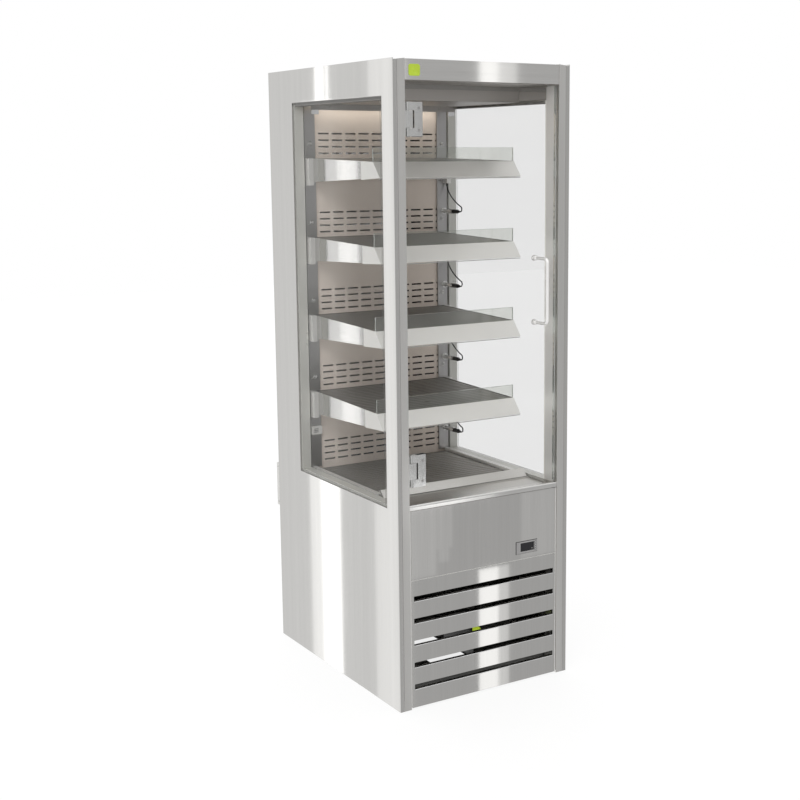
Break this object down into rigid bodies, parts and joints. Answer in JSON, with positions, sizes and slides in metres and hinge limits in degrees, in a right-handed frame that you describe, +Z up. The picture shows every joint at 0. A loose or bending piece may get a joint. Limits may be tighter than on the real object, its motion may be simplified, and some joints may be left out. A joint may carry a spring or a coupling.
{
  "type": "food holding cabinet",
  "caption": "Upright heated food display cabinet with glazed sides, glass door, heated shelves, slotted rear air duct, deck fans and a louvred service base.",
  "frame": {"origin": "centre of the overall footprint, on the floor", "axes": "+Z up, +X to the right as seen from the front, +Y into the cabinet from the door"},
  "size_m": [0.6, 0.874, 1.87],
  "materials": {
    "stainless": "brushed sheet, fine vertical grain",
    "bright_steel": "satin, lightly polished",
    "polished_steel": "polished bar",
    "dark_steel": "galvanised and painted, dull",
    "ceiling_steel": "satin, slightly darkened by heat",
    "beige_panel": "warm grey-beige satin coat",
    "clear_glass": "clear toughened glass",
    "spacer_aluminium": "mill finish",
    "black_plastic": "fine matt texture",
    "display_black": "glossy window",
    "lime_plastic": "moulded, glossy",
    "white_plastic": "matt",
    "lamp_plastic": "opal diffuser",
    "charcoal_coating": "dark non-stick coat",
    "lead_rubber": "matt",
    "heating_mat": "matt silicone"
  },
  "bodies": {
    "cabinet": {"base_frame": "dark_steel", "base_plate": "dark_steel", "levelling_feet": "charcoal_coating", "left_side_panel": "stainless", "right_side_panel": "stainless", "left_front_post": "stainless", "right_front_post": "stainless", "roof_panel": "stainless", "top_fascia": "stainless", "fascia_badge": "lime_plastic", "ceiling_panel": "ceiling_steel", "lamp_diffuser": "lamp_plastic", "led_driver": "white_plastic", "rear_panel": "stainless", "rear_service_cover": "stainless", "inlet_box": "stainless", "inlet_gland": "black_plastic", "left_glazing": "clear_glass", "right_glazing": "clear_glass", "glazing_spacers": "spacer_aluminium", "back_panel": "beige_panel", "shelf_uprights": "ceiling_steel", "probe_housing": "white_plastic", "deck_pan": "stainless", "deck_grid": "charcoal_coating", "deck_lip": "bright_steel", "sill": "bright_steel", "lower_front_panel": "stainless", "grille_panel": "stainless", "controller_housing": "bright_steel", "controller_display": "display_black", "hinge_leaves": "bright_steel", "fan_frames": "black_plastic", "heater_element": "ceiling_steel", "control_box": "black_plastic", "terminal_cover": "lime_plastic", "shelf_brackets": "bright_steel", "shelf_sockets": "bright_steel", "shelf_plugs": "black_plastic", "shelf_leads": "lead_rubber", "shelf_1": "stainless", "shelf_2": "stainless", "shelf_3": "stainless", "shelf_4": "stainless", "shelf_grids": "charcoal_coating", "shelf_heaters": "heating_mat", "shelf_risers": "clear_glass", "ticket_strips": "bright_steel"},
    "door": {"door_glass": "clear_glass", "top_hinge_clamp": "bright_steel", "bottom_hinge_clamp": "bright_steel", "door_fixings": "bright_steel", "door_handle": "polished_steel"},
    "button_1": {"controller_button_1": "bright_steel"},
    "button_2": {"controller_button_2": "bright_steel"},
    "button_3": {"controller_button_3": "bright_steel"},
    "button_4": {"controller_button_4": "bright_steel"},
    "left_fan": {"left_fan_rotor": "black_plastic"},
    "right_fan": {"right_fan_rotor": "black_plastic"},
    "switch": {"mains_switch": "black_plastic"}
  },
  "joints": [
    {"name": "door_swing", "type": "hinge", "parent": "cabinet", "child": "door", "pos_m": [-0.247, -0.371, 1.21], "axis": [0, 0, -1], "range_deg": [0, 95]},
    {"name": "button_1_press", "type": "slide", "parent": "cabinet", "child": "button_1", "axis": [0, 1, 0], "range_m": [0, 0.0006], "stiffness_N_per_m": 600},
    {"name": "button_2_press", "type": "slide", "parent": "cabinet", "child": "button_2", "axis": [0, 1, 0], "range_m": [0, 0.0006], "stiffness_N_per_m": 600},
    {"name": "button_3_press", "type": "slide", "parent": "cabinet", "child": "button_3", "axis": [0, 1, 0], "range_m": [0, 0.0006], "stiffness_N_per_m": 600},
    {"name": "button_4_press", "type": "slide", "parent": "cabinet", "child": "button_4", "axis": [0, 1, 0], "range_m": [0, 0.0006], "stiffness_N_per_m": 600},
    {"name": "left_fan_spin", "type": "hinge", "parent": "cabinet", "child": "left_fan", "pos_m": [-0.12, 0.257, 0.535], "axis": [0, -1, 0], "continuous": true},
    {"name": "right_fan_spin", "type": "hinge", "parent": "cabinet", "child": "right_fan", "pos_m": [0.12, 0.257, 0.535], "axis": [0, -1, 0], "continuous": true},
    {"name": "mains_switch_rock", "type": "hinge", "parent": "cabinet", "child": "switch", "pos_m": [-0.25, 0.431, 0.545], "axis": [-1, 0, 0], "range_deg": [0, 16]}
  ]
}
